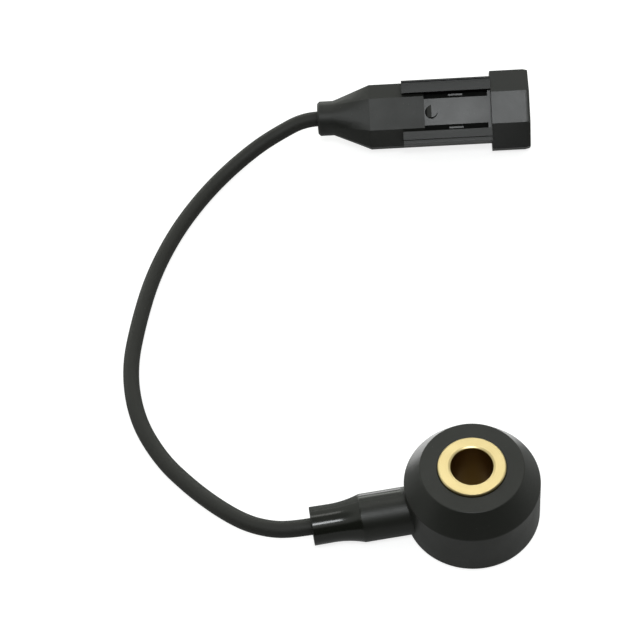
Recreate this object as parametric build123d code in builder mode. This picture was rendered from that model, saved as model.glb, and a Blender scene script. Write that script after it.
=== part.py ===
from build123d import *
import math
import os

# Engine knock sensor: a ring-shaped sensing head on a brass sleeve, a short lead and a plug.
# Frame: millimetres, +Z up along the mounting bore, origin on the bore's axis at the sleeve's
# base, which is the face that meets the engine block. The head's cable arm points to -X.

# Sleeve and sensing stack
bore_dia = 8.4                 # clears an M8 screw
bore_chamfer = 0.4
sleeve_wall = 2.65
sleeve_rim_chamfer = 0.25
flange_thick = 3.0
flange_step = 0.4              # how far the flange stands out beyond the stack
key_groove_depth = 0.5         # grooves that hold the moulding on the brass
key_groove_width = 0.8
tube_wall = 0.3
slip_gap = 0.05                # running gap between coaxial pieces of the stack
ring_width = 3.4               # radial width of the piezo ring, plates, washers and mass
washer_thick = 0.4
plate_thick = 0.3
piezo_thick = 2.5
mass_thick = 4.0
spring_thick = 0.55
spring_rise = 1.0
spring_width = 2.9
nut_thick = 3.0
nut_width = 2.75
nut_slot_width = 2.2
nut_slot_depth = 1.2
nut_slots = 4
nut_slot_turn = 45             # degrees from the arm to the first slot
tab_width = 1.6                # tabs that carry the signal out of the two contact plates
tab_side = 1.3

# Head housing
housing_wall = 2.7
housing_lift = 0.9             # the sleeve's base stands proud of the plastic
cover_thick = 2.5              # plastic over the nut
rim_proud = 0.6                # the sleeve's top stands proud of the plastic
bevel_width = 3.3
bevel_height = 5.3
edge_break = 0.25              # small bevel on every moulded edge
arm_dia = 9.9
arm_foot = 0.1                 # height of the arm's underside
arm_straight = 9.05
arm_cone = 4.5
arm_tip = 5.85
arm_tip_dia = 7.9
arm_tip_bevel = 0.45
seam_overlap = 0.2

# Lead
cable_dia = 3.5
cable_grip = 7.4               # jacket held inside the arm, and inside the plug's neck
cable_rest = 0.05              # height of its underside above the bench
arc_share = 0.45               # of the shorter run, taken up by each bend
core_dia = 1.1
wire_dia = 0.6
core_spread = 0.8
core_straight = 1.0
core_fan = 2.6
core_run = 1.6                 # straight end of the insulation
strip_length = 0.8             # bare wire between the insulation and the splice
splice_length = 2.6
splice_wall = 0.35
splice_round = 0.3
splice_back = 0.1

# Plug: an eight-sided moulding that rests on one of its sloping sides
plug_yaw = -8.0                # degrees, the way its axis points on the bench
facet_width = 7.4
facet_slope = 34.2             # degrees
side_height = 4.0
hood_width = 18.2
hood_length = 8.8
hood_wall = 1.3
hood_floor = 1.0
block_width = 14.6
neck_dia = 8.05
neck_length = 3.6
neck_bevel = 0.5
neck_shift = 0.3               # the lead pulls the soft neck a little to one side
flare_length = 8.6
rail_start = 19.75
overmould_end = 24.8
hood_start = 40.3
step_height = 0.75             # overmould above the latch channel's floor
channel_width = 6.2
gutter_depth = 1.1             # sloping, deepest at the rail
gutter_width = 1.4
gutter_stop = 0.8              # left solid before the hood
rail_width = 2.95
rail_height = 1.6              # inner edge above the channel's floor
rail_slope = 6.0
rail_foot = 0.4
rail_lip = 0.35
rail_groove_width = 0.7
rail_groove_depth = 0.6
nub_dia = 2.85
nub_height = 1.4
nub_ramp_end = 0.25
nub_station = 26.45
nub_sink = 0.3
gutter_pad_start = 30.5
gutter_pad_length = 3.3
gutter_pad_width = 0.4
gutter_pad_drop = 0.25          # pads end below the channel's floor
shell_wall = 1.3
socket_roof = 1.9              # plastic between the channel's floor and the socket
socket_bottom = 30.0
shell_back = 17.0
shell_back_width = 10.8
shell_back_height = 5.4
key_rib_width = 1.2
key_rib_height = 0.8
key_rib_side = 2.6

# Blades
blade_width = 1.5
blade_thick = 0.8
blade_pitch = 3.8
blade_tip = 43.2
blade_point = 0.6
blade_taper = 20.0
blade_drop = 0.45
barrel_length = 2.8
barrel_wall = 0.3
barrel_gap = 0.5

# Radii of the head, each worked out from the one inside it
bore_r = bore_dia / 2
stem_r = bore_r + sleeve_wall
tube_inner_r = stem_r + slip_gap
tube_outer_r = tube_inner_r + tube_wall
ring_inner_r = tube_outer_r + slip_gap
ring_outer_r = ring_inner_r + ring_width
spring_outer_r = ring_inner_r + spring_width
flange_r = ring_outer_r + flange_step
body_r = flange_r + housing_wall
nut_r = stem_r + nut_width
top_flat_r = body_r - bevel_width
arm_r = arm_dia / 2
arm_tip_r = arm_tip_dia / 2
arm_z = arm_foot + arm_r
cable_r = cable_dia / 2
wire_r = wire_dia / 2
core_r = core_dia / 2

# Heights of the stack, from the flange up
washer_1_z = flange_thick
plate_1_z = washer_1_z + washer_thick
piezo_z = plate_1_z + plate_thick
plate_2_z = piezo_z + piezo_thick
washer_2_z = plate_2_z + plate_thick
mass_z = washer_2_z + washer_thick
spring_z = mass_z + mass_thick
nut_z = spring_z + spring_rise
nut_top = nut_z + nut_thick
housing_top = nut_top + cover_thick
sleeve_height = housing_top + rim_proud

# Places along the arm
arm_kink_x = -(body_r + arm_straight)
arm_cone_x = arm_kink_x - arm_cone
arm_end_x = arm_cone_x - arm_tip
grip_x = arm_end_x + cable_grip
bend_x = grip_x + core_straight + core_fan
strip_x = bend_x + core_run
tab_tip_x = strip_x + strip_length
splice_x = tab_tip_x + splice_back
wire_tip_x = splice_x + splice_length + splice_back


def disc(inner_r, outer_r, bottom, thick):
    """A flat ring round the bore."""
    with BuildPart() as flat_ring:
        with BuildSketch(Plane.XY.offset(bottom)):
            Circle(outer_r)
            Circle(inner_r, mode=Mode.SUBTRACT)
        extrude(amount=thick)
    return flat_ring


def contact_plate(bottom, side):
    """A thin brass ring with a tab that runs out into the arm."""
    tab_root = ring_inner_r + ring_width / 2
    tab_length = -tab_tip_x - tab_root
    with BuildPart() as plate:
        with BuildSketch(Plane.XY.offset(bottom)):
            Circle(ring_outer_r)
            with Locations((tab_tip_x + tab_length / 2, side * tab_side)):
                Rectangle(tab_length, tab_width)
            Circle(ring_inner_r, mode=Mode.SUBTRACT)
        extrude(amount=plate_thick)
    return plate


def rod(points, outer_r, inner_r=0):
    """A round wire, or its insulation, along straight runs with mitred corners."""
    with BuildPart() as wire:
        with BuildLine():
            path = Polyline(*points)
        with BuildSketch(Plane(origin=path @ 0, z_dir=path % 0)):
            Circle(outer_r)
            if inner_r:
                Circle(inner_r, mode=Mode.SUBTRACT)
        sweep(transition=Transition.RIGHT)
    return wire


# Brass pressure sleeve: flange, stem and through bore, turned in one piece
with BuildPart() as bore_sleeve:
    with BuildSketch(Plane.XZ):
        with BuildLine():
            Polyline(
                (bore_r, 0),
                (flange_r, 0),
                (flange_r, flange_thick),
                (stem_r, flange_thick),
                (stem_r, sleeve_height),
                (bore_r, sleeve_height),
                close=True,
            )
        make_face()
    revolve(axis=Axis.Z)
    top_ring = bore_sleeve.faces().sort_by(Axis.Z)[-1]
    chamfer(top_ring.inner_wires()[0].edges(), length=bore_chamfer)
    top_ring = bore_sleeve.faces().sort_by(Axis.Z)[-1]
    chamfer(top_ring.outer_wire().edges(), length=sleeve_rim_chamfer)
    with BuildSketch(Plane.XY.offset((housing_lift + flange_thick - key_groove_width) / 2)):
        Circle(flange_r + key_groove_depth)
        Circle(flange_r - key_groove_depth, mode=Mode.SUBTRACT)
    extrude(amount=key_groove_width, mode=Mode.SUBTRACT)
    with BuildSketch(Plane.XY.offset(nut_top + (cover_thick - key_groove_width) / 2)):
        Circle(stem_r + key_groove_depth)
        Circle(stem_r - key_groove_depth, mode=Mode.SUBTRACT)
    extrude(amount=key_groove_width, mode=Mode.SUBTRACT)

# Sensing stack, from the flange up
insulating_tube = disc(tube_inner_r, tube_outer_r, washer_1_z, nut_z - washer_1_z)
lower_insulating_washer = disc(ring_inner_r, ring_outer_r, washer_1_z, washer_thick)
ground_contact_plate = contact_plate(plate_1_z, -1)
piezo_ring = disc(ring_inner_r, ring_outer_r, piezo_z, piezo_thick)
signal_contact_plate = contact_plate(plate_2_z, 1)
upper_insulating_washer = disc(ring_inner_r, ring_outer_r, washer_2_z, washer_thick)
seismic_mass = disc(ring_inner_r, ring_outer_r, mass_z, mass_thick)

# Conical disc spring: its outer edge sits on the mass and its inner edge holds the nut
with BuildPart() as disc_spring:
    with BuildSketch(Plane.XZ):
        with BuildLine():
            Polyline(
                (spring_outer_r, spring_z),
                (spring_outer_r, spring_z + spring_thick),
                (ring_inner_r, nut_z),
                (ring_inner_r, nut_z - spring_thick),
                close=True,
            )
        make_face()
    revolve(axis=Axis.Z)

# Round nut with spanner slots, screwed on to the sleeve's stem
with BuildPart() as clamping_nut:
    with BuildSketch(Plane.XY.offset(nut_z)):
        Circle(nut_r)
        Circle(stem_r, mode=Mode.SUBTRACT)
    extrude(amount=nut_thick)
    with BuildSketch(Plane.XY.offset(nut_top)):
        with PolarLocations(nut_r, nut_slots, start_angle=nut_slot_turn):
            Rectangle(nut_width, nut_slot_width)
    extrude(amount=-nut_slot_depth, mode=Mode.SUBTRACT)


# Route of the lead: steps in plan from the arm's end, and rise above the bench
lead_steps = [
    (-9.0, 1.2, 3.15),
    (-13.5, 3.8, 2.9),
    (-18.4, 8.7, 2.3),
    (-23.5, 15.5, 1.0),
    (-28.9, 24.0, 0.1),
    (-33.0, 35.3, 0.0),
    (-33.4, 48.3, 0.0),
    (-30.1, 60.8, 0.0),
    (-25.7, 73.0, 0.0),
    (-19.6, 84.0, 0.0),
    (-12.8, 92.8, 0.05),
    (-5.7, 99.3, 0.8),
    (2.1, 104.1, 2.4),
    (7.9, 105.7, 4.4),
]
lead_out = 4.5                 # straight run out of the arm
lead_in = 3.3                  # straight run into the plug
plug_step = (17.5, 107.3)      # plug's neck in plan, from the arm's end

# Plug frame: u runs across it, w out of its latch side, and its axis lies level
slope = math.radians(facet_slope)
yaw = math.radians(plug_yaw)


def half_height(width):
    """Half the height of an eight-sided section, from its width."""
    return side_height / 2 + (width - facet_width) / 2 * math.tan(slope)


# The hood's lower sloping side lies on the bench, so the axis stands this high
axis_z = facet_width / 2 * math.sin(slope) + half_height(hood_width) * math.cos(slope)
plug_axis = Vector(math.cos(yaw), math.sin(yaw), 0)
plug_side = Vector(-math.sin(yaw), math.cos(yaw), 0)
across = plug_side * math.cos(slope) + Vector(0, 0, math.sin(slope))
plug_end = Vector(arm_end_x + plug_step[0], plug_step[1], axis_z)


def station(distance):
    """The plane square to the plug's axis at a distance from the neck's end."""
    return Plane(origin=plug_end + plug_axis * distance, x_dir=across, z_dir=plug_axis)


def plug_point(distance, u, w):
    """A point of the plug, by its distance along the axis and its place in the section."""
    return station(distance).from_local_coords(Vector(u, w, 0))


def eight_sided(width):
    """Corners of the plug's eight-sided section."""
    top = half_height(width)
    facet, side, flat = facet_width / 2, width / 2, side_height / 2
    right = [(facet, -top), (side, -flat), (side, flat), (facet, top)]
    left = [(-u, w) for u, w in reversed(right)]
    return right + left


# Cable: jacket gripped in the arm, the free lead on the bench, jacket gripped in the neck
exit_point = Vector(arm_end_x, 0, arm_z)
lead_points = [exit_point, exit_point - Vector(lead_out, 0, 0)]
lead_points += [Vector(arm_end_x + x, y, cable_r + cable_rest + rise) for x, y, rise in lead_steps]
neck_end = plug_point(0, neck_shift, 0)
lead_points += [neck_end - plug_axis * lead_in, neck_end]
lead_radii = []
lead_length = 0
for before, here, after in zip(lead_points, lead_points[1:], lead_points[2:]):
    turn = math.radians((here - before).get_angle(after - here))
    shorter = min((here - before).length, (after - here).length)
    corner_radius = arc_share * shorter / math.tan(turn / 2)
    lead_radii.append(corner_radius)
    lead_length += (here - before).length - corner_radius * (2 * math.tan(turn / 2) - turn)
lead_length += (lead_points[-1] - lead_points[-2]).length

with BuildPart() as cable:
    with BuildLine():
        FilletPolyline(*lead_points, radius=lead_radii)
    with BuildSketch(Plane(origin=exit_point, z_dir=(-1, 0, 0))):
        Circle(cable_r)
    sweep()
    lead_volume = cable.part.volume
    with BuildSketch(Plane(origin=exit_point, z_dir=(1, 0, 0))):
        Circle(cable_r)
    extrude(amount=cable_grip)
    with BuildSketch(Plane(origin=neck_end, z_dir=plug_axis)):
        Circle(cable_r)
    extrude(amount=cable_grip)


def head_core(side, tab_top):
    """Wire and insulation of one core, from the jacket's end to its tab."""
    wire_z = tab_top + slip_gap + wire_r
    corners = [
        (grip_x, side * core_spread, arm_z),
        (grip_x + core_straight, side * core_spread, arm_z),
        (bend_x, side * tab_side, wire_z),
    ]
    wire = rod(corners + [(wire_tip_x, side * tab_side, wire_z)], wire_r)
    insulation = rod(corners + [(strip_x, side * tab_side, wire_z)], core_r, wire_r)
    return wire, insulation


signal_wire_in_arm, signal_insulation_in_arm = head_core(1, plate_2_z + plate_thick)
ground_wire_in_arm, ground_insulation_in_arm = head_core(-1, plate_1_z + plate_thick)


def splice(side, tab_bottom, plate, wire):
    """A crimped band round a tab and the bare wire that lies on it."""
    band_height = plate_thick + slip_gap + wire_dia + 2 * splice_wall
    band_width = tab_width + 2 * splice_wall
    centre_z = tab_bottom - splice_wall + band_height / 2
    with BuildPart() as band:
        band_start = Plane(origin=(splice_x, side * tab_side, centre_z), x_dir=(0, 1, 0),
                           z_dir=(1, 0, 0))
        with BuildSketch(band_start):
            RectangleRounded(band_width, band_height, splice_round)
        extrude(amount=splice_length)
        add(plate.part, mode=Mode.SUBTRACT)
        add(wire.part, mode=Mode.SUBTRACT)
    return band


signal_splice = splice(1, plate_2_z, signal_contact_plate, signal_wire_in_arm)
ground_splice = splice(-1, plate_1_z, ground_contact_plate, ground_wire_in_arm)

# Head housing: moulded round the sleeve, the stack and the end of the cable
stack = [
    bore_sleeve, insulating_tube, lower_insulating_washer, ground_contact_plate, piezo_ring,
    signal_contact_plate, upper_insulating_washer, seismic_mass, disc_spring, clamping_nut,
]
arm_pieces = [
    signal_wire_in_arm, signal_insulation_in_arm, ground_wire_in_arm, ground_insulation_in_arm,
    signal_splice, ground_splice, cable,
]
with BuildPart() as head_housing:
    with BuildSketch(Plane.XZ):
        with BuildLine():
            Polyline(
                (0, housing_lift),
                (body_r, housing_lift),
                (body_r, housing_top - bevel_height),
                (top_flat_r, housing_top),
                (0, housing_top),
                close=True,
            )
        body_face = make_face()
        chamfer(body_face.vertices().filter_by(lambda v: v.X > top_flat_r / 2), length=edge_break)
    revolve(axis=Axis.Z)
    with BuildSketch(Plane.XZ):
        arm_root = -math.sqrt(body_r**2 - arm_r**2) + seam_overlap
        with BuildLine():
            Polyline(
                (arm_root, arm_z),
                (arm_root, arm_z + arm_r),
                (arm_kink_x, arm_z + arm_r),
                (arm_cone_x, arm_z + arm_tip_r),
                (arm_end_x, arm_z + arm_tip_r),
                (arm_end_x, arm_z),
                close=True,
            )
        arm_face = make_face()
        tip_corner = arm_face.vertices().sort_by(Axis.X)[:2].sort_by(Axis.Z)[-1]
        chamfer(tip_corner, length=arm_tip_bevel)
    revolve(axis=Axis((0, 0, arm_z), (-1, 0, 0)))
    with BuildSketch(Plane.XY.offset(flange_thick)):
        Circle(spring_outer_r)
    extrude(amount=nut_z - flange_thick, mode=Mode.SUBTRACT)
    for piece in stack + arm_pieces:
        add(piece.part, mode=Mode.SUBTRACT)
    with BuildSketch():
        Circle(bore_r + sleeve_wall / 2)
    extrude(amount=sleeve_height, mode=Mode.SUBTRACT)


def blade_terminal(place):
    """A blade with a closed barrel behind it, crimped on to a wire."""
    u = place * blade_pitch
    blade_root = shell_back - barrel_gap
    with BuildPart() as terminal:
        with BuildSketch(station(blade_root)):
            with Locations((u, -blade_drop)):
                Rectangle(blade_width, blade_thick)
        extrude(amount=blade_tip - blade_point - blade_root)
        with BuildSketch(station(blade_tip - blade_point)):
            with Locations((u, -blade_drop)):
                Rectangle(blade_width, blade_thick)
        extrude(amount=blade_point, taper=blade_taper)
        with BuildSketch(station(blade_root - barrel_length)):
            with Locations((u, -blade_drop)):
                Circle(wire_r + barrel_wall)
        extrude(amount=barrel_length)
        with BuildSketch(station(blade_root - barrel_length)):
            with Locations((u, -blade_drop)):
                Circle(wire_r)
        extrude(amount=barrel_length - barrel_gap, mode=Mode.SUBTRACT)
    return terminal


def plug_core(place):
    """Wire and insulation of one core, from the jacket's end to its blade's barrel."""
    start = neck_shift + place * (core_dia + slip_gap)
    barrel_back = shell_back - barrel_gap - barrel_length
    corners = [
        plug_point(cable_grip, start, 0),
        plug_point(cable_grip + core_straight, start, 0),
        plug_point(barrel_back - core_straight - strip_length, place * blade_pitch, -blade_drop),
    ]
    wire_end = plug_point(barrel_back + barrel_length - barrel_gap, place * blade_pitch, -blade_drop)
    sleeve_end = plug_point(barrel_back - strip_length / 2, place * blade_pitch, -blade_drop)
    wire = rod(corners + [wire_end], wire_r)
    insulation = rod(corners + [sleeve_end], core_r, wire_r)
    return wire, insulation


signal_blade = blade_terminal(1)
ground_blade = blade_terminal(0)
shield_blade = blade_terminal(-1)
signal_wire_in_plug, signal_insulation_in_plug = plug_core(1)
ground_wire_in_plug, ground_insulation_in_plug = plug_core(0)
shield_drain_wire, shield_drain_tubing = plug_core(-1)

# Levels of the plug's latch side
block_top = half_height(block_width)
channel_floor = block_top - step_height
gutter_floor = channel_floor - gutter_depth
rail_inner = channel_width / 2 + gutter_width
rail_outer = rail_inner + rail_width
rail_top = channel_floor + rail_height
socket_top = channel_floor - socket_roof


def rail_level(u):
    """Height of the rail's sloping top at a distance from the plug's middle."""
    return rail_top - (u - rail_inner) * math.tan(math.radians(rail_slope))


groove_out = rail_outer - rail_lip
groove_in = groove_out - rail_groove_width

# Plug shell: core, latch channel between two rails, lock nub and the hood round the blades
with BuildPart() as plug_shell:
    with BuildSketch(station(shell_back)):
        RectangleRounded(shell_back_width, shell_back_height, edge_break)
    extrude(amount=socket_bottom - shell_back)
    with BuildSketch(station(overmould_end)):
        Polygon(*eight_sided(block_width), align=None)
        with Locations((0, channel_floor)):
            Rectangle(block_width, 2 * block_top, align=(Align.CENTER, Align.MIN), mode=Mode.SUBTRACT)
    extrude(amount=hood_start - overmould_end)
    with BuildSketch(station(overmould_end)):
        for side in (-1, 1):
            with BuildLine():
                Polyline(
                    (side * channel_width / 2, channel_floor),
                    (side * rail_inner, gutter_floor),
                    (side * rail_inner, rail_top),
                    close=True,
                )
            make_face()
    extrude(amount=hood_start - gutter_stop - overmould_end, mode=Mode.SUBTRACT)
    with BuildSketch(station(rail_start)):
        for side in (-1, 1):
            with BuildLine():
                Polyline(
                    (side * rail_inner, -rail_foot),
                    (side * rail_inner, rail_top),
                    (side * groove_in, rail_level(groove_in)),
                    (side * groove_in, rail_level(groove_in) - rail_groove_depth),
                    (side * groove_out, rail_level(groove_out) - rail_groove_depth),
                    (side * groove_out, rail_level(groove_out)),
                    (side * rail_outer, rail_level(rail_outer)),
                    (side * rail_outer, -rail_foot),
                    close=True,
                )
            make_face()
    extrude(amount=hood_start - rail_start)
    with BuildSketch(station(hood_start)):
        Polygon(*eight_sided(hood_width), align=None)
    extrude(amount=hood_length)
    outer_rim = plug_shell.faces().sort_by(Axis(plug_end, plug_axis))[-1].edges()
    chamfer(outer_rim, length=edge_break)
    with BuildSketch(station(hood_start + hood_floor)):
        Polygon(*eight_sided(hood_width), align=None)
        offset(amount=-hood_wall, kind=Kind.INTERSECTION, mode=Mode.REPLACE)
        for side in (-1, 1):
            with Locations((side * key_rib_side, hood_wall - half_height(hood_width))):
                Rectangle(key_rib_width, 2 * key_rib_height, mode=Mode.SUBTRACT)
    extrude(amount=hood_length, mode=Mode.SUBTRACT)
    with BuildSketch(station(socket_bottom)):
        Polygon(*eight_sided(block_width), align=None)
        offset(amount=-shell_wall, kind=Kind.INTERSECTION, mode=Mode.REPLACE)
        with Locations((0, socket_top)):
            Rectangle(block_width, block_top, align=(Align.CENTER, Align.MIN), mode=Mode.SUBTRACT)
    extrude(amount=hood_start + hood_length - socket_bottom, mode=Mode.SUBTRACT)
    with BuildSketch(Plane(origin=plug_point(nub_station, 0, channel_floor - nub_sink),
                           x_dir=plug_axis, z_dir=station(0).y_dir)):
        Circle(nub_dia / 2)
    extrude(amount=nub_sink + nub_height)
    with BuildSketch(Plane(origin=plug_point(nub_station, 0, channel_floor), x_dir=plug_axis,
                           z_dir=-across)):
        with BuildLine():
            Polyline(
                (0, nub_height),
                (-nub_dia / 2, nub_ramp_end),
                (-nub_dia, nub_ramp_end),
                (-nub_dia, 2 * nub_height),
                (0, 2 * nub_height),
                close=True,
            )
        make_face()
    extrude(amount=nub_dia, both=True, mode=Mode.SUBTRACT)
    with BuildSketch(station(gutter_pad_start)):
        for side in (-1, 1):
            with Locations((side * (channel_width + gutter_width) / 2, gutter_floor)):
                Rectangle(gutter_pad_width, 2 * (gutter_depth - gutter_pad_drop))
    extrude(amount=gutter_pad_length)
    for blade in (signal_blade, ground_blade, shield_blade):
        add(blade.part, mode=Mode.SUBTRACT)

# Overmould: neck, flare and block, moulded round the shell's back, the crimps and the cable
with BuildPart() as plug_overmould:
    with BuildSketch(Plane(origin=neck_end, z_dir=plug_axis)):
        Circle(neck_dia / 2)
    extrude(amount=neck_length)
    chamfer(plug_overmould.faces().sort_by(Axis(plug_end, plug_axis))[0].edges(), length=neck_bevel)
    with BuildSketch(station(neck_length)):
        with Locations((neck_shift, 0)):
            Circle(neck_dia / 2)
    with BuildSketch(station(neck_length + flare_length)):
        Polygon(*eight_sided(block_width), align=None)
    loft(ruled=True)
    with BuildSketch(station(neck_length + flare_length)):
        Polygon(*eight_sided(block_width), align=None)
    extrude(amount=overmould_end - neck_length - flare_length)
    for piece in (
        plug_shell, signal_blade, ground_blade, shield_blade, signal_wire_in_plug,
        signal_insulation_in_plug, ground_wire_in_plug, ground_insulation_in_plug,
        shield_drain_wire, shield_drain_tubing, cable,
    ):
        add(piece.part, mode=Mode.SUBTRACT)

pieces = {
    "head_housing": head_housing,
    "bore_sleeve": bore_sleeve,
    "insulating_tube": insulating_tube,
    "lower_insulating_washer": lower_insulating_washer,
    "ground_contact_plate": ground_contact_plate,
    "piezo_ring": piezo_ring,
    "signal_contact_plate": signal_contact_plate,
    "upper_insulating_washer": upper_insulating_washer,
    "seismic_mass": seismic_mass,
    "disc_spring": disc_spring,
    "clamping_nut": clamping_nut,
    "signal_wire_in_arm": signal_wire_in_arm,
    "signal_insulation_in_arm": signal_insulation_in_arm,
    "ground_wire_in_arm": ground_wire_in_arm,
    "ground_insulation_in_arm": ground_insulation_in_arm,
    "signal_splice": signal_splice,
    "ground_splice": ground_splice,
    "cable": cable,
    "plug_overmould": plug_overmould,
    "plug_shell": plug_shell,
    "signal_blade": signal_blade,
    "ground_blade": ground_blade,
    "shield_blade": shield_blade,
    "signal_wire_in_plug": signal_wire_in_plug,
    "signal_insulation_in_plug": signal_insulation_in_plug,
    "ground_wire_in_plug": ground_wire_in_plug,
    "ground_insulation_in_plug": ground_insulation_in_plug,
    "shield_drain_wire": shield_drain_wire,
    "shield_drain_tubing": shield_drain_tubing,
}
os.makedirs("parts", exist_ok=True)
for name, piece in pieces.items():
    piece.part.label = name
    export_step(piece.part, f"parts/{name}.step")

print("sleeve height", round(sleeve_height, 2), "body diameter", round(2 * body_r, 2))
print("lead radii", [round(r, 1) for r in lead_radii])
print("lead length", round(lead_length, 1))
print("lead volume over section times length", round(lead_volume / (math.pi * cable_r**2 * lead_length), 4))
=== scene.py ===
# %% [markdown]
# # Engine knock sensor
# A knock sensor is a small microphone for an engine block. A ring of piezo ceramic sits inside
# a black moulding, one screw through the brass sleeve clamps it to the block, and a short
# screened lead ends in a plug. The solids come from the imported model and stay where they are.
# This script gives them their finish, softens the mouldings' edges, and lays the lead as a
# real cable. Blender counts in metres, so sizes in millimetres are multiplied by MM.

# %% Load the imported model
import math

import bmesh
import bpy
from mathutils import Matrix, Vector


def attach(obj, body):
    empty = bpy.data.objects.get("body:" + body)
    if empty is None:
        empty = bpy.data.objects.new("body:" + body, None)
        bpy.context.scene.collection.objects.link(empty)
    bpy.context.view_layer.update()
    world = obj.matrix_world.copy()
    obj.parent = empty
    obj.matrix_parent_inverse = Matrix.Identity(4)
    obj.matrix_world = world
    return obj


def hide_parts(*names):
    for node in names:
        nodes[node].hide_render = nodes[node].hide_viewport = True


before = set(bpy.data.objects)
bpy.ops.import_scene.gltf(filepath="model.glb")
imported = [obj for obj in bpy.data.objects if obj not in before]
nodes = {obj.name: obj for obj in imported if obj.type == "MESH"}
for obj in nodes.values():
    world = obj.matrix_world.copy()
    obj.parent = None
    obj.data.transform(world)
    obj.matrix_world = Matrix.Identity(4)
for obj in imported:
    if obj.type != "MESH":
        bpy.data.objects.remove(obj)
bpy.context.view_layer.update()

MM = 0.001
scene = bpy.context.scene

# %% [markdown]
# ## Camera
# The photograph looks down at about 53 degrees through a long lens, held a little askew. A long
# lens far away keeps the head and the plug at nearly the same scale, so the camera's place
# matters as much as its lens. It is set by its turn about the vertical, its tilt from the
# vertical and its roll about its own axis, which rotation matrices combine in that order.

# %% Camera
CAMERA_PLACE = Vector((-38.74, -212.72, 361.63)) * MM
CAMERA_TURN = math.radians(-3.25)
CAMERA_TILT = math.radians(36.54)
CAMERA_ROLL = math.radians(-6.58)
FOCAL_LENGTH = 114.5           # millimetres, as a lens is named
SENSOR_WIDTH = 36.0

camera_data = bpy.data.cameras.new("camera")
camera_data.lens = FOCAL_LENGTH
camera_data.sensor_width = SENSOR_WIDTH
camera = bpy.data.objects.new("camera", camera_data)
aim = Matrix.Rotation(CAMERA_TURN, 4, "Z") @ Matrix.Rotation(CAMERA_TILT, 4, "X")
camera.matrix_world = (
    Matrix.Translation(CAMERA_PLACE) @ aim @ Matrix.Rotation(CAMERA_ROLL, 4, "Z")
)
scene.collection.objects.link(camera)
scene.camera = camera
scene.view_settings.view_transform = "Standard"
print("camera looks along", [round(v, 3) for v in aim @ Vector((0, 0, -1))])

# %% [markdown]
# ## Lead
# The lead is a springy round cable, 3.5 mm thick, that leaves the arm level, sinks to the bench
# over about eleven diameters, lies there in a wide C and climbs into the plug's neck. A NURBS
# curve of order 3 is the right tool: it is smooth between its control points, as a bent cable
# is, and its round bevel gives the jacket. The end points stay on the curve, so both ends meet
# their mouldings exactly.

# %% Lead
LEAD_DIAMETER = 3.5 * MM
ARM_END = Vector((-33.15, 0.0, 5.05)) * MM
PLUG_END = Vector((-15.615, 107.546, 6.938)) * MM
LEAD_POINTS = [
    (-37.65, 0.0, 5.05),
    (-42.15, 1.2, 4.95),
    (-46.65, 3.8, 4.7),
    (-51.55, 8.7, 4.1),
    (-56.65, 15.5, 2.8),
    (-62.05, 24.0, 1.9),
    (-66.15, 35.3, 1.8),
    (-66.55, 48.3, 1.8),
    (-63.25, 60.8, 1.8),
    (-58.85, 73.0, 1.8),
    (-52.75, 84.0, 1.8),
    (-45.95, 92.8, 1.85),
    (-38.85, 99.3, 2.6),
    (-31.05, 104.1, 4.2),
    (-25.25, 105.7, 6.2),
    (-18.883, 108.005, 6.938),
]
STEPS_ALONG = 16               # between two control points
STEPS_ROUND = 8                # of the bevel that makes the jacket round

lead_curve = bpy.data.curves.new("lead", "CURVE")
lead_curve.dimensions = "3D"
lead_curve.resolution_u = STEPS_ALONG
lead_curve.bevel_depth = LEAD_DIAMETER / 2
lead_curve.bevel_resolution = STEPS_ROUND
lead_curve.use_fill_caps = True
route = [ARM_END] + [Vector(point) * MM for point in LEAD_POINTS] + [PLUG_END]
spline = lead_curve.splines.new("NURBS")
spline.points.add(len(route) - 1)
for control, place in zip(spline.points, route):
    control.co = (*place, 1)
spline.order_u = 3
spline.use_endpoint_u = True
lead = bpy.data.objects.new("lead", lead_curve)
scene.collection.objects.link(lead)
print("lead points", len(route))

# %% [markdown]
# ## Shared effects
# Three effects turn up on more than one material, so each is a node group that is built once
# and placed with its own values. A group gives only values that change over the surface, and
# the shader itself stays in each material. All of them read the Object coordinates, which are
# the place on the piece in metres, so a scale of 4000 means four grains to a millimetre.

# %% Helpers for node trees
def add_node(tree, kind, **settings):
    """A new shader node with its attributes set."""
    node = tree.nodes.new(kind)
    for name, value in settings.items():
        setattr(node, name, value)
    return node


def wire(tree, source, target):
    """Links two sockets."""
    tree.links.new(source, target)


def feed(tree, value, socket):
    """Gives a socket another socket's output or a plain value."""
    if isinstance(value, bpy.types.NodeSocket):
        wire(tree, value, socket)
    else:
        socket.default_value = value


def effect(name, inputs, outputs):
    """A shader node group with float inputs (with defaults) and float outputs."""
    tree = bpy.data.node_groups.new(name, "ShaderNodeTree")
    for label, value in inputs.items():
        socket = tree.interface.new_socket(label, in_out="INPUT", socket_type="NodeSocketFloat")
        socket.default_value = value
    for label in outputs:
        tree.interface.new_socket(label, in_out="OUTPUT", socket_type="NodeSocketFloat")
    return tree, add_node(tree, "NodeGroupInput"), add_node(tree, "NodeGroupOutput")


# %% Helpers for numbers and places
def math_node(tree, operation, *values):
    """A Math node fed by sockets or plain numbers."""
    node = add_node(tree, "ShaderNodeMath", operation=operation)
    for socket, value in zip(node.inputs, values):
        feed(tree, value, socket)
    return node.outputs["Value"]


def ramp(tree, value, low, high):
    """Goes smoothly from 0 at low to 1 at high."""
    node = add_node(tree, "ShaderNodeMapRange", interpolation_type="SMOOTHSTEP")
    wire(tree, value, node.inputs["Value"])
    node.inputs["From Min"].default_value = low
    node.inputs["From Max"].default_value = high
    return node.outputs["Result"]


def object_place(tree):
    """The place of a point on its piece."""
    return add_node(tree, "ShaderNodeTexCoord").outputs["Object"]


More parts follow.
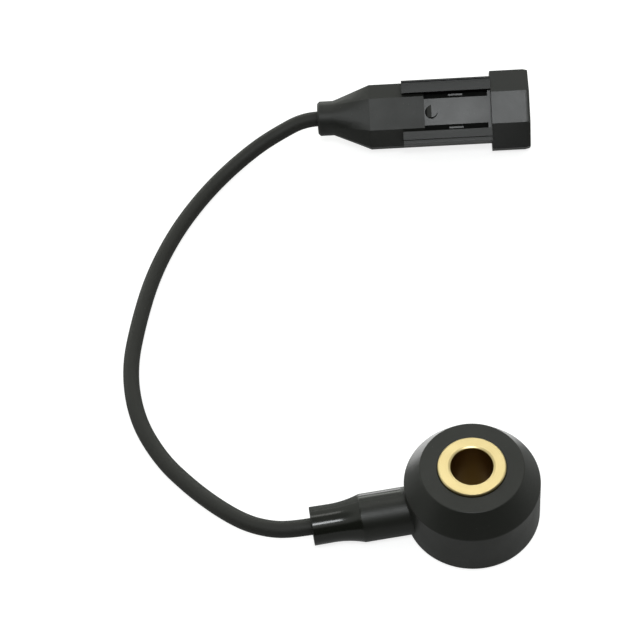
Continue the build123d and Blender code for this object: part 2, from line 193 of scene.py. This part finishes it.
def split(tree, vector):
    """A vector's three parts."""
    node = add_node(tree, "ShaderNodeSeparateXYZ")
    wire(tree, vector, node.inputs["Vector"])
    return node.outputs


def off_axis(tree, place):
    """Distance from the bore's axis."""
    parts = split(tree, place)
    x_square = math_node(tree, "MULTIPLY", parts["X"], parts["X"])
    square = math_node(tree, "MULTIPLY_ADD", parts["Y"], parts["Y"], x_square)
    return math_node(tree, "SQRT", square)


def noise(tree, place, scale, detail=3.0, roughness=0.5):
    """A noise texture's value at a place."""
    node = add_node(tree, "ShaderNodeTexNoise")
    wire(tree, place, node.inputs["Vector"])
    feed(tree, scale, node.inputs["Scale"])
    node.inputs["Detail"].default_value = detail
    node.inputs["Roughness"].default_value = roughness
    return node.outputs["Fac"]


# %% [markdown]
# Moulded plastic copies its steel mould, which was blasted to a fine grain and wears unevenly.
# So a fine noise gives the height, and a coarse one lets the gloss drift in soft patches.

# %% Moulded grain
CLOUDS = 140.0                 # patches of other gloss, per metre
SPECKLE = 0.1                  # how far the grain itself moves the gloss
grain_tree, grain_in, grain_out = effect(
    "moulded_grain",
    {"Grains per metre": 4000.0, "Roughness": 0.45, "Drift": 0.08},
    ("Roughness", "Height"),
)
place = object_place(grain_tree)
fine = noise(grain_tree, place, grain_in.outputs["Grains per metre"], detail=4.0, roughness=0.6)
cloudy = noise(grain_tree, place, CLOUDS)
swing = math_node(grain_tree, "MULTIPLY_ADD", cloudy, 2.0, -1.0)    # from 0 to 1 into -1 to 1
drift = grain_in.outputs["Drift"]
rough = math_node(grain_tree, "MULTIPLY_ADD", swing, drift, grain_in.outputs["Roughness"])
speckled = math_node(grain_tree, "MULTIPLY_ADD", fine, SPECKLE, rough)
centred = math_node(grain_tree, "SUBTRACT", speckled, SPECKLE / 2)
wire(grain_tree, centred, grain_out.inputs["Roughness"])
wire(grain_tree, fine, grain_out.inputs["Height"])
print("group", grain_tree.name)

# %% [markdown]
# A part that has been handled and lain in a box carries short rub marks, all in about the same
# direction, and a few specks of dust. A stretched noise gives the marks, and a Voronoi texture
# the specks: each of its cells has a random colour, which leaves most of the cells bare.

# %% Rub marks and dust
STREAKS = 260.0                # per metre, before they are stretched
STREAK_TURN = (0.3, 0.2, 0.7)
STREAK_STRETCH = (1.0, 14.0, 5.0)
STREAK_RAMP = (0.6, 0.74)
PATCHES = 90.0                 # places with streaks, per metre
PATCH_RAMP = (0.45, 0.7)
SPECK_SIZE = 0.055             # as a share of a cell
BARE_CELLS = 0.7               # the share of the cells without a speck
rub_tree, rub_in, rub_out = effect(
    "rubbed_and_dusty", {"Amount": 0.5, "Specks per metre": 900.0}, ("Rub", "Dust"),
)
place = object_place(rub_tree)
stretch = add_node(rub_tree, "ShaderNodeMapping")
stretch.inputs["Rotation"].default_value = STREAK_TURN
stretch.inputs["Scale"].default_value = STREAK_STRETCH
wire(rub_tree, place, stretch.inputs["Vector"])
long_noise = noise(rub_tree, stretch.outputs["Vector"], STREAKS, detail=5.0, roughness=0.65)
streaks = ramp(rub_tree, long_noise, *STREAK_RAMP)
patches = ramp(rub_tree, noise(rub_tree, place, PATCHES, detail=2.0), *PATCH_RAMP)
specks = add_node(rub_tree, "ShaderNodeTexVoronoi")
wire(rub_tree, place, specks.inputs["Vector"])
wire(rub_tree, rub_in.outputs["Specks per metre"], specks.inputs["Scale"])
small = math_node(rub_tree, "LESS_THAN", specks.outputs["Distance"], SPECK_SIZE)
chance = add_node(rub_tree, "ShaderNodeSeparateColor")
wire(rub_tree, specks.outputs["Color"], chance.inputs["Color"])
few = math_node(rub_tree, "GREATER_THAN", chance.outputs["Red"], BARE_CELLS)
for label, first, second in (("Rub", streaks, patches), ("Dust", small, few)):
    both = math_node(rub_tree, "MULTIPLY", first, second)
    amount = math_node(rub_tree, "MULTIPLY", both, rub_in.outputs["Amount"])
    wire(rub_tree, amount, rub_out.inputs[label])
print("group", rub_tree.name)

# %% [markdown]
# A lathe's tool leaves fine rings. They are a noise in one dimension, along the sum of the
# distance from the axis and the height, so that both flat and upright faces get rings.

# %% Turning marks
BROAD_TONES = 220.0            # slow changes of tone, per metre
RING_SHARE = 0.6               # of the tone, the rest being slow changes
turn_tree, turn_in, turn_out = effect(
    "turning_marks", {"Rings per metre": 9000.0}, ("Tone", "Height"),
)
place = object_place(turn_tree)
path = math_node(turn_tree, "ADD", off_axis(turn_tree, place), split(turn_tree, place)["Z"])
rings = add_node(turn_tree, "ShaderNodeTexNoise", noise_dimensions="1D")
rings.inputs["Scale"].default_value = 1.0
rings.inputs["Detail"].default_value = 4.0
counted = math_node(turn_tree, "MULTIPLY", path, turn_in.outputs["Rings per metre"])
wire(turn_tree, counted, rings.inputs["W"])
slow = noise(turn_tree, place, BROAD_TONES, detail=2.0)
broad = math_node(turn_tree, "MULTIPLY", slow, 1 - RING_SHARE)
tone = math_node(turn_tree, "MULTIPLY_ADD", rings.outputs["Fac"], RING_SHARE, broad)
wire(turn_tree, tone, turn_out.inputs["Tone"])
wire(turn_tree, rings.outputs["Fac"], turn_out.inputs["Height"])
print("group", turn_tree.name)

# %% [markdown]
# ## Finishes
# The sensor has few colours and many surfaces. The head is satin black plastic, the plug's
# shell is a little glossier, its overmould softer and duller, and the lead's jacket is matte
# rubber. The sleeve is yellow brass. One function makes all the plastics and another all the
# metals, so that they differ only in what is said where they are made.

# %% Material helpers
def new_material(name):
    """A new node material, its tree and its shader."""
    material = bpy.data.materials.new(name)
    material.use_nodes = True
    tree = material.node_tree
    return material, tree, tree.nodes["Principled BSDF"]


def use_effect(tree, group, **values):
    """Places a shared effect with its own values."""
    node = add_node(tree, "ShaderNodeGroup", node_tree=group)
    for label, value in values.items():
        node.inputs[label.replace("_", " ")].default_value = value
    return node


def bump(tree, shader, height, distance):
    """Feeds a height to the shader's normal."""
    node = add_node(tree, "ShaderNodeBump")
    node.inputs["Strength"].default_value = 1.0
    node.inputs["Distance"].default_value = distance
    wire(tree, height, node.inputs["Height"])
    wire(tree, node.outputs["Normal"], shader.inputs["Normal"])


def blend_colour(tree, mask, first, second):
    """A colour that goes from first to second with a mask."""
    node = add_node(tree, "ShaderNodeMix", data_type="RGBA")
    wire(tree, mask, node.inputs["Factor"])
    for socket, value in ((node.inputs[6], first), (node.inputs[7], second)):
        feed(tree, (*value, 1.0) if isinstance(value, tuple) else value, socket)
    return node.outputs[2]


# %% Plastic
SHEEN = 0.38                   # how strongly the plastics mirror, 0.5 being the usual value
DUST = (0.12, 0.12, 0.11)
RUB_GAIN = 2.2                 # a rubbed place is this many times as pale
RUB_LIFT = 0.01
RUB_DULLING = 0.12
GRAIN_LOST = 0.6               # the share of the grain that polish takes away


def plastic(name, colour, roughness, grains=4500.0, drift=0.06, depth=0.012, worn=0.5,
            polish=None, polished_to=0.0):
    """Moulded plastic: grain, drifting gloss, rub marks and a little dust. A polish is a
    function that makes a mask, and where the mask is 1 the roughness is polished_to."""
    material, tree, shader = new_material(name)
    shader.inputs["Specular IOR Level"].default_value = SHEEN
    grain = use_effect(tree, grain_tree, Grains_per_metre=grains, Roughness=roughness, Drift=drift)
    marks = use_effect(tree, rub_tree, Amount=worn)
    pale = tuple(min(1.0, RUB_GAIN * part + RUB_LIFT) for part in colour)
    rubbed = blend_colour(tree, marks.outputs["Rub"], colour, pale)
    dusty = blend_colour(tree, marks.outputs["Dust"], rubbed, DUST)
    wire(tree, dusty, shader.inputs["Base Color"])
    gloss = math_node(
        tree, "MULTIPLY_ADD", marks.outputs["Rub"], RUB_DULLING, grain.outputs["Roughness"])
    height = grain.outputs["Height"]
    if polish is not None:
        mask = polish(tree)
        gloss = math_node(tree, "MULTIPLY_ADD", mask, polished_to - roughness, gloss)
        flatter = math_node(tree, "MULTIPLY_ADD", mask, -GRAIN_LOST, 1.0)
        height = math_node(tree, "MULTIPLY", height, flatter)
    wire(tree, gloss, shader.inputs["Roughness"])
    bump(tree, shader, height, depth * MM)
    return material


# %% Metal and ceramic
TONE_GLOSS = 0.2               # how far a pale ring is smoother than a dark one
DARK_GRAIN = 0.8               # the ceramic's darker grains, as a share of its colour


def metal(name, colour, dark, roughness, rings=9000.0, depth=0.003):
    """Turned or drawn metal: fine rings in tone, gloss and height."""
    material, tree, shader = new_material(name)
    marks = use_effect(tree, turn_tree, Rings_per_metre=rings)
    toned = blend_colour(tree, marks.outputs["Tone"], dark, colour)
    wire(tree, toned, shader.inputs["Base Color"])
    gloss = math_node(
        tree, "MULTIPLY_ADD", marks.outputs["Tone"], -TONE_GLOSS, roughness + TONE_GLOSS / 2)
    wire(tree, gloss, shader.inputs["Roughness"])
    shader.inputs["Metallic"].default_value = 1.0
    bump(tree, shader, marks.outputs["Height"], depth * MM)
    return material, tree, shader, toned


def ceramic(name, colour):
    """Fired ceramic: a dense grain and hardly any gloss."""
    material, tree, shader = new_material(name)
    grain = use_effect(tree, grain_tree, Grains_per_metre=7000.0, Roughness=0.7, Drift=0.05)
    darker = tuple(DARK_GRAIN * part for part in colour)
    grained = blend_colour(tree, grain.outputs["Height"], darker, colour)
    wire(tree, grained, shader.inputs["Base Color"])
    wire(tree, grain.outputs["Roughness"], shader.inputs["Roughness"])
    return material


# %% [markdown]
# The arm isn't equally smooth all over. Its far side is glossy as far as the kink where it
# starts to narrow, and mirrors a pale line there. On the tip the near side is the glossy one,
# with two streaks of the lamps, and the far side is dull. So the mask changes sides at the kink.

# %% Finishes of the outer pieces
ARM_START = 14.0               # from the bore's axis, where the arm leaves the body
ARM_KINK = 22.8                # where it starts to narrow
FAR_SIDE = 0.9                 # from the arm's middle line
POLISH_FADE = 0.5
DULL_TIP = 0.9                 # how far below 0 the mask goes on the tip's far side


def fade_in(tree, value, start):
    """Goes from 0 to 1 over the polish's edge, which starts at a place in millimetres."""
    return ramp(tree, value, start * MM, (start + POLISH_FADE) * MM)


def arm_polish(tree):
    """1 on the arm's glossy sides, 0 elsewhere, and less than 0 on the tip's far side."""
    parts = split(tree, object_place(tree))
    outward = math_node(tree, "MULTIPLY", parts["X"], -1.0)
    on_arm = fade_in(tree, outward, ARM_START)
    on_tip = fade_in(tree, outward, ARM_KINK)
    far_side = fade_in(tree, parts["Y"], FAR_SIDE)
    change = math_node(tree, "MULTIPLY_ADD", on_tip, -2.0 - DULL_TIP, on_arm)
    return math_node(tree, "MULTIPLY_ADD", far_side, change, on_tip)


head_plastic = plastic(
    "head_plastic", (0.0078, 0.0086, 0.0066), roughness=0.42, drift=0.1,
    polish=arm_polish, polished_to=0.17)
shell_plastic = plastic(
    "shell_plastic", (0.0088, 0.0094, 0.0088), roughness=0.34)
overmould_plastic = plastic(
    "overmould_plastic", (0.0088, 0.0094, 0.0080), roughness=0.47, grains=3500.0, depth=0.016)
jacket_rubber = plastic(
    "jacket_rubber", (0.0120, 0.0122, 0.0102), roughness=0.60, grains=2600.0, depth=0.03,
    worn=0.8)
black_finishes = (head_plastic, shell_plastic, overmould_plastic, jacket_rubber)
print("black finishes", [finish.name for finish in black_finishes])

# %% [markdown]
# Inside the bore the brass is painted a dark brown, which is painted shade for the shadow that
# falls in the narrow bore. Its mask is the distance from the axis, which every point of the sleeve
# knows from its Object coordinates.

# %% Brass with painted shade in the bore
BORE = 4.2
BORE_FADE = (0.02, 0.1)        # outward from the bore, where brown turns to yellow
# painted shade: the dark brown that stands for the shadow inside the bore
BORE_PAINTED_SHADE = (0.30, 0.17, 0.025)
brass, brass_tree, brass_shader, toned = metal(
    "sleeve_brass", (0.66, 0.55, 0.31), dark=(0.52, 0.41, 0.18), roughness=0.34)
# The mask is 0 in the bore, where the painted shade lies, and 1 on the brass outside it.
from_axis = off_axis(brass_tree, object_place(brass_tree))
out_of_bore_shade = ramp(brass_tree, from_axis, (BORE + BORE_FADE[0]) * MM, (BORE + BORE_FADE[1]) * MM)
shaded_bore_colour = blend_colour(brass_tree, out_of_bore_shade, BORE_PAINTED_SHADE, toned)
wire(brass_tree, shaded_bore_colour, brass_shader.inputs["Base Color"])
print("brass", brass.name, "brown inside a radius of", BORE, "mm")

# %% [markdown]
# ## Inside
# The pieces inside the mouldings can't be seen in the photograph, but the model can be opened.
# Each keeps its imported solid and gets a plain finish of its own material.

# %% Finishes of the inner pieces
tin = metal(
    "tin_plate", (0.78, 0.77, 0.73), dark=(0.66, 0.65, 0.61), roughness=0.25, rings=3000.0)[0]
strip_brass = metal(
    "strip_brass", (0.84, 0.69, 0.37), dark=(0.7, 0.55, 0.27), roughness=0.3, rings=5000.0)[0]
copper = metal(
    "copper", (0.86, 0.5, 0.33), dark=(0.7, 0.36, 0.22), roughness=0.3, rings=7000.0)[0]
steel = metal(
    "machined_steel", (0.6, 0.6, 0.61), dark=(0.44, 0.44, 0.45), roughness=0.3, rings=6000.0)[0]
piezo = ceramic("fired_ceramic", (0.62, 0.6, 0.52))
insulator = plastic("pale_insulation", (0.62, 0.58, 0.47), roughness=0.5, worn=0.2)
INSIDE = {
    tin: ["signal_blade", "ground_blade", "shield_blade"],
    strip_brass: ["ground_contact_plate", "signal_contact_plate", "signal_splice", "ground_splice"],
    copper: ["signal_wire_in_arm", "ground_wire_in_arm", "signal_wire_in_plug",
             "ground_wire_in_plug", "shield_drain_wire"],
    steel: ["seismic_mass", "disc_spring", "clamping_nut"],
    piezo: ["piezo_ring"],
    insulator: ["insulating_tube", "lower_insulating_washer", "upper_insulating_washer",
                "signal_insulation_in_arm", "ground_insulation_in_arm",
                "signal_insulation_in_plug", "ground_insulation_in_plug", "shield_drain_tubing"],
}
for finish, names in INSIDE.items():
    for name in names:
        nodes[name].data.materials.clear()
        nodes[name].data.materials.append(finish)
    print(finish.name, len(names))

# %% [markdown]
# ## Round mouldings by extrusion
# A lathe in Blender's edit mode is a ring of edges that is extruded and scaled again and again:
# each station gives a radius and a height. It makes the head, the brass sleeve and the arm, with
# clean rings of quads that a Bevel modifier can round. Weighted normals then keep the large
# faces flat and leave the bending of the light to the narrow bevels.

# %% Lathe helper
SEGMENTS = 128
SAME_POINT = 1e-6              # metres: what lies closer together is one point


def only(piece):
    """Selects this piece alone and makes it the active one."""
    bpy.ops.object.select_all(action="DESELECT")
    piece.select_set(True)
    bpy.context.view_layer.objects.active = piece


def edit_all(piece):
    """Opens this piece alone in edit mode, with all of it selected."""
    only(piece)
    bpy.ops.object.mode_set(mode="EDIT")
    bpy.ops.mesh.select_mode(type="VERT")
    bpy.ops.mesh.select_all(action="SELECT")


def lathe(name, stations, segments=SEGMENTS):
    """A turned shape from (radius, height) stations in millimetres. Stations that end where
    they began close it into a ring."""
    radius, height = stations[0]
    bpy.ops.object.select_all(action="DESELECT")
    bpy.ops.mesh.primitive_circle_add(
        vertices=segments, radius=radius * MM, location=(0, 0, height * MM), fill_type="NOTHING")
    piece = bpy.context.object
    piece.name = name
    bpy.ops.object.transform_apply(location=True, rotation=True, scale=True)
    edit_all(piece)
    for next_radius, next_height in stations[1:]:
        bpy.ops.mesh.extrude_region_move(
            TRANSFORM_OT_translate={"value": (0, 0, (next_height - height) * MM)})
        if next_radius != radius:
            factor = next_radius / radius
            bpy.ops.transform.resize(
                value=(factor, factor, 1), center_override=(0, 0, next_height * MM))
        radius, height = next_radius, next_height
    bpy.ops.mesh.select_all(action="SELECT")
    bpy.ops.mesh.remove_doubles(threshold=SAME_POINT)
    bpy.ops.mesh.normals_make_consistent(inside=False)
    bpy.ops.object.mode_set(mode="OBJECT")
    return piece


# %% Finishing helpers
def modify(piece, kind, **settings):
    """Adds a modifier with its settings and applies it."""
    only(piece)
    modifier = piece.modifiers.new(kind.lower(), kind)
    for name, value in settings.items():
        setattr(modifier, name, value)
    bpy.ops.object.modifier_apply(modifier=modifier.name)


def round_edges(piece, width, segments, angle):
    """Rounds every edge sharper than an angle, over a width in millimetres."""
    modify(piece, "BEVEL", width=width * MM, segments=segments, limit_method="ANGLE",
           angle_limit=math.radians(angle), use_clamp_overlap=True)


def shade(piece, angle):
    """Smooth shading up to an angle."""
    only(piece)
    bpy.ops.object.shade_smooth_by_angle(angle=math.radians(angle))
    modify(piece, "WEIGHTED_NORMAL", keep_sharp=True, weight=100)


def finish_piece(piece, material, slot, *replaced):
    """Gives a piece its finish, its body and the nodes that it stands for. The slot is not used."""
    piece.data.materials.clear()
    piece.data.materials.append(material)
    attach(piece, "root")
    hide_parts(*replaced)
    print(piece.name, "a", piece.type.lower(), "in place of", *replaced)


# %% [markdown]
# ## Brass sleeve
# On the real sensor this is a turned brass bush that takes the screw's whole load. Only its top
# ring, its bore and its base show. The bore's rim first slopes gently and then steeply, so that
# it catches the front lamp at the back of the ring, as the worn rim in the photograph does.

# %% Sleeve
STEM = 6.85
FLANGE = 11.05
FLANGE_TOP = 3.0
SLEEVE_TOP = 18.0
OUTER_CHAMFER = 0.25
BORE_CHAMFER = 0.5
RIM_OUT = 0.12                 # where the rim turns steep, outward from the bore
RIM_DOWN = 0.2                 # and below the top
sleeve = lathe("turned_sleeve", [
    (BORE, 0.0), (FLANGE, 0.0), (FLANGE, FLANGE_TOP), (STEM, FLANGE_TOP),
    (STEM, SLEEVE_TOP - OUTER_CHAMFER), (STEM - OUTER_CHAMFER, SLEEVE_TOP),
    (BORE + BORE_CHAMFER, SLEEVE_TOP), (BORE + RIM_OUT, SLEEVE_TOP - RIM_DOWN),
    (BORE, SLEEVE_TOP - BORE_CHAMFER), (BORE, 0.0),
])
round_edges(sleeve, width=0.05, segments=2, angle=20)
shade(sleeve, angle=30)
finish_piece(sleeve, brass, "sleeve_brass", "bore_sleeve")

# %% [markdown]
# ## Head moulding
# The body is a bevelled drum, moulded round the sleeve, and hollow where the sensing stack and
# its nut sit. Its stations run up the outside, over the top and down again inside.

# %% Head body
BODY = 13.75
FOOT = 0.9
BEVEL_LOW = 12.1
TOP_FLAT = 10.45
HOUSING_TOP = 17.4
NUT = 9.6                      # the hollow for the clamping nut
NUT_LOW = 11.9
NUT_TOP = 14.9
STACK = 10.65                  # the hollow for the sensing stack
CLEAR = 0.02                   # between the moulding and what it holds
body = lathe("head_moulding", [
    (BODY, FOOT), (BODY, BEVEL_LOW), (TOP_FLAT, HOUSING_TOP), (STEM + CLEAR, HOUSING_TOP),
    (STEM + CLEAR, NUT_TOP + CLEAR), (NUT + CLEAR, NUT_TOP + CLEAR), (NUT + CLEAR, NUT_LOW),
    (STACK + CLEAR, NUT_LOW), (STACK + CLEAR, FLANGE_TOP + CLEAR),
    (FLANGE + CLEAR, FLANGE_TOP + CLEAR), (FLANGE + CLEAR, FOOT), (BODY, FOOT),
])
round_edges(body, width=0.4, segments=4, angle=25)
print("body from", FOOT, "to", HOUSING_TOP, "mm, faces", len(body.data.polygons))

# %% [markdown]
# The arm runs out of the body's side, narrows in a soft curve and grips the lead. It is turned
# upright first, because the lathe works round the vertical. The curve is a parabola that meets
# the tip without a kink, and the last stations go back inside, as the hole for the lead.

# %% Arm
ARM = 4.95
ARM_ROOT = 12.62               # inside the body, from the bore's axis
WAIST = 6.2                    # length of the curve from the kink to the tip's radius
WAIST_STEPS = 10
ARM_TIP = 3.93
ARM_FLARE = 0.04
ARM_LENGTH = 33.15
LEAD_HOLE = 1.77
LEAD_GRIP = 7.4
ARM_SEGMENTS = 96
arm_stations = [(ARM, ARM_ROOT), (ARM, ARM_KINK)]
for step in range(1, WAIST_STEPS + 1):
    t = step / WAIST_STEPS
    arm_stations.append((ARM - (ARM - ARM_TIP) * (1 - (1 - t) ** 2), ARM_KINK + WAIST * t))
arm_stations += [
    (ARM_TIP + ARM_FLARE, ARM_LENGTH), (LEAD_HOLE, ARM_LENGTH), (LEAD_HOLE, ARM_LENGTH - LEAD_GRIP),
]
arm = lathe("arm", arm_stations, segments=ARM_SEGMENTS)
edit_all(arm)
bpy.ops.mesh.select_all(action="DESELECT")
bpy.ops.mesh.select_non_manifold()
bpy.ops.mesh.edge_face_add()
bpy.ops.object.mode_set(mode="OBJECT")
print("arm stations", len(arm_stations), "faces", len(arm.data.polygons))

# %% [markdown]
# Both open ends of the arm were closed with a face: its root sits inside the body, and the hole
# stops where the jacket does. Body and arm are one moulding on the real sensor, so the arm is
# laid along the lead's exit, and a Boolean union joins the two.

# %% Join arm and body
ARM_Z = 5.05
to_the_side = Matrix.Rotation(math.radians(-90), 4, "Y")
arm.data.transform(Matrix.Translation((0, 0, ARM_Z * MM)) @ to_the_side)
round_edges(arm, width=0.18, segments=3, angle=30)
edit_all(arm)
bpy.ops.mesh.normals_make_consistent(inside=False)
bpy.ops.object.mode_set(mode="OBJECT")
modify(body, "BOOLEAN", operation="UNION", object=arm, solver="EXACT")
bpy.data.objects.remove(arm)
shade(body, angle=32)
finish_piece(body, head_plastic, "head_plastic", "head_housing")

# %% [markdown]
# ## Plug
# The plug's solids hold its true shape already, so a copy of each is cleaned and softened. The
# copy's loose triangles are merged, its flat facets dissolved, and the edges that remain are
# rounded, because a moulded edge catches the light. Round its open end the hood has a narrow
# slope, which is the small chamfer of the solid with its back edge drawn along the plug.

# %% Slope round the hood's open end
PLUG_TURN = math.radians(-8.0)
PLUG_AXIS = Vector((math.cos(PLUG_TURN), math.sin(PLUG_TURN), 0))
CHAMFER_BACK = (0.05, 0.5)     # how far from the open end the chamfer's back edge is looked for


def slope_mouth(piece, shift):
    """Draws the chamfer round the hood's open end back along the plug, in millimetres."""
    edit_all(piece)
    mesh = bmesh.from_edit_mesh(piece.data)
    reach = max(vertex.co.dot(PLUG_AXIS) for vertex in mesh.verts)
    for vertex in mesh.verts:
        back = reach - vertex.co.dot(PLUG_AXIS)
        vertex.select_set(CHAMFER_BACK[0] * MM < back < CHAMFER_BACK[1] * MM)
    mesh.select_flush_mode()
    bmesh.update_edit_mesh(piece.data)
    bpy.ops.transform.translate(value=-PLUG_AXIS * shift * MM)
    bpy.ops.object.mode_set(mode="OBJECT")
    print(piece.name, "slope drawn back by", shift, "mm")


# %% Soft copies of the plug's mouldings
LOOSE_POINT = 2e-6             # metres: how far apart the loose triangles' corners may be
SAME_FACE = math.radians(2)
EDGE_WIDTH = 0.16
MOUTH_SLOPE = 0.8


def soften(node_name, name, material, slot, mouth=None):
    """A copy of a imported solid, merged, with its edges rounded."""
    copy = nodes[node_name].copy()
    copy.data = nodes[node_name].data.copy()
    copy.name = name
    copy.parent = None
    copy.matrix_world = Matrix.Identity(4)
    for key in list(copy.keys()):
        if key.startswith("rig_"):
            del copy[key]
    scene.collection.objects.link(copy)
    edit_all(copy)
    bpy.ops.mesh.remove_doubles(threshold=LOOSE_POINT)
    bpy.ops.mesh.dissolve_limited(angle_limit=SAME_FACE)
    bpy.ops.mesh.normals_make_consistent(inside=False)
    bpy.ops.object.mode_set(mode="OBJECT")
    if mouth is not None:
        slope_mouth(copy, mouth)
    round_edges(copy, width=EDGE_WIDTH, segments=3, angle=28)
    shade(copy, angle=30)
    finish_piece(copy, material, slot, node_name)
    return copy


plug_body = soften("plug_shell", "plug_body", shell_plastic, "plug_plastic", mouth=MOUTH_SLOPE)
plug_neck = soften("plug_overmould", "plug_neck", overmould_plastic, "overmould_plastic")

# %% [markdown]
# ## Lead's place in the model
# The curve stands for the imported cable. The plug's two mouldings sit on its far end, with the
# blades and the wires that they hold.

finish_piece(lead, jacket_rubber, "cable_jacket", "cable")

# %% [markdown]
# ## Bench
# The photograph has a bare white ground. The floor itself is a plain grey, which throws little
# light back at the object, and to the camera it also glows, which lifts it to white and leaves
# only the shadows where the pieces touch it. Mirrored rays see a weaker glow, so that the walls
# stay dark. Only a patch behind the head shines at them like a white card, and draws the pale
# lines on the far edges of the arm and of the body's bevel.

# %% Floor
FLOOR_HALF = 1.2               # metres
FLOOR_GREY = (0.4, 0.4, 0.4, 1.0)
FLOOR_ROUGHNESS = 0.9
WHITE = (1.0, 1.0, 1.0, 1.0)
bpy.ops.object.select_all(action="DESELECT")
bpy.ops.mesh.primitive_plane_add(size=2 * FLOOR_HALF, location=(0, 0, 0))
floor = bpy.context.object
floor.name = "floor"
floor_paint, floor_tree, floor_shader = new_material("floor_white")
floor_shader.inputs["Base Color"].default_value = FLOOR_GREY
floor_shader.inputs["Roughness"].default_value = FLOOR_ROUGHNESS
floor_shader.inputs["Emission Color"].default_value = WHITE
floor.data.materials.append(floor_paint)
print("floor", 2 * FLOOR_HALF, "m wide")

# %% Floor's glow
CAMERA_GLOW = 0.79
MIRROR_GLOW = 0.1
CARD_GLOW = 2.4                # of the patch that shines like a card
CARD_MIDDLE = (0.0, 39.0)
CARD_HALF = (24.0, 19.0)
CARD_EDGE = 0.9                # the share of the card's half width that glows in full


def off_middle(tree, value, middle, half):
    """Distance from a middle, as a share of a half width."""
    share = math_node(tree, "MULTIPLY_ADD", value, 1 / (half * MM), -middle / half)
    return math_node(tree, "ABSOLUTE", share)


floor_place = split(floor_tree, object_place(floor_tree))
sideways = off_middle(floor_tree, floor_place["X"], CARD_MIDDLE[0], CARD_HALF[0])
lengthways = off_middle(floor_tree, floor_place["Y"], CARD_MIDDLE[1], CARD_HALF[1])
from_card = math_node(floor_tree, "MAXIMUM", sideways, lengthways)
bare = ramp(floor_tree, from_card, CARD_EDGE, 1.0)
mirror_glow = math_node(floor_tree, "MULTIPLY_ADD", bare, MIRROR_GLOW - CARD_GLOW, CARD_GLOW)
rays = add_node(floor_tree, "ShaderNodeLightPath").outputs
mirrored = math_node(floor_tree, "MAXIMUM", rays["Is Glossy Ray"], rays["Is Transmission Ray"])
to_mirrors = math_node(floor_tree, "MULTIPLY", mirrored, mirror_glow)
glow = math_node(floor_tree, "MULTIPLY_ADD", rays["Is Camera Ray"], CAMERA_GLOW, to_mirrors)
wire(floor_tree, glow, floor_shader.inputs["Emission Strength"])
print("floor glows", CAMERA_GLOW, "to the camera and", MIRROR_GLOW, "to", CARD_GLOW, "to mirrors")

# %% [markdown]
# ## Room
# Black plastic shows its shape by what it mirrors, so the room matters as much as the lamps. It
# is pale behind and at the sides, dimmer straight overhead and dark low on the camera's side,
# which gives the body's bevel its black front. A bright strip lies behind, close above the
# bench. A direction's Z is 0 at the horizon and 1 overhead, and its Y is 1 straight behind.

# %% Room
SIDES = 0.92
TOP = 0.4
FRONT = 0.04
STRIP = 3.5
TOP_EDGE = (0.88, 0.97)        # Z
FRONT_EDGE = (0.05, 0.4)       # Y, towards the camera
FRONT_UP_TO = (0.6, 0.8)       # Z
STRIP_EDGE = (0.5, 0.8)        # Y
STRIP_UP_TO = (0.15, 0.25)     # Z
ROOM_COLOUR = (0.97, 1.0, 0.94, 1.0)
world = bpy.data.worlds.new("room")
scene.world = world
world.use_nodes = True
room_tree = world.node_tree
sky = split(room_tree, add_node(room_tree, "ShaderNodeTexCoord").outputs["Generated"])
overhead = ramp(room_tree, sky["Z"], *TOP_EDGE)
in_front = ramp(room_tree, math_node(room_tree, "MULTIPLY", sky["Y"], -1.0), *FRONT_EDGE)
not_high = math_node(room_tree, "SUBTRACT", 1.0, ramp(room_tree, sky["Z"], *FRONT_UP_TO))
front_wall = math_node(room_tree, "MULTIPLY", in_front, not_high)
behind = ramp(room_tree, sky["Y"], *STRIP_EDGE)
near_bench = math_node(room_tree, "SUBTRACT", 1.0, ramp(room_tree, sky["Z"], *STRIP_UP_TO))
strip = math_node(room_tree, "MULTIPLY", behind, near_bench)
light = math_node(room_tree, "MULTIPLY_ADD", overhead, TOP - SIDES, SIDES)
light = math_node(room_tree, "MULTIPLY_ADD", front_wall, FRONT - SIDES, light)
light = math_node(room_tree, "MULTIPLY_ADD", strip, STRIP - SIDES, light)
background = room_tree.nodes["Background"]
background.inputs["Color"].default_value = ROOM_COLOUR
wire(room_tree, light, background.inputs["Strength"])
print("room", SIDES, "overhead", TOP, "in front", FRONT, "strip", STRIP)

# %% [markdown]
# ## Lamps
# Two long lamps hang about a metre overhead. The front one draws the white streak along the
# arm's tip and lights up the plug's flat, and the back one draws a faint second streak. Each is
# set by its radiance, so its size can change without a change in how bright its mirror image is.

# %% Lamps
MIDDLE = Vector((-0.015, 0.05, 0.005))


def lamp(name, place, size, radiance, colour):
    """A long area lamp that points at the middle of the sensor. Lengths are in metres."""
    data = bpy.data.lights.new(name, "AREA")
    data.shape = "RECTANGLE"
    data.size, data.size_y = size
    data.energy = radiance * math.pi * size[0] * size[1]
    data.color = colour
    box = bpy.data.objects.new(name, data)
    box.location = place
    box.rotation_euler = (MIDDLE - Vector(place)).to_track_quat("-Z", "Y").to_euler()
    scene.collection.objects.link(box)
    print(name, round(data.energy, 2), "watts")


lamp("front_lamp", place=(-0.02, -0.40, 1.0), size=(0.38, 0.19), radiance=16.0,
     colour=(0.95, 0.98, 1.0))
lamp("back_lamp", place=(0.05, 0.50, 1.0), size=(0.5, 0.18), radiance=3.0,
     colour=(1.0, 1.0, 0.96))
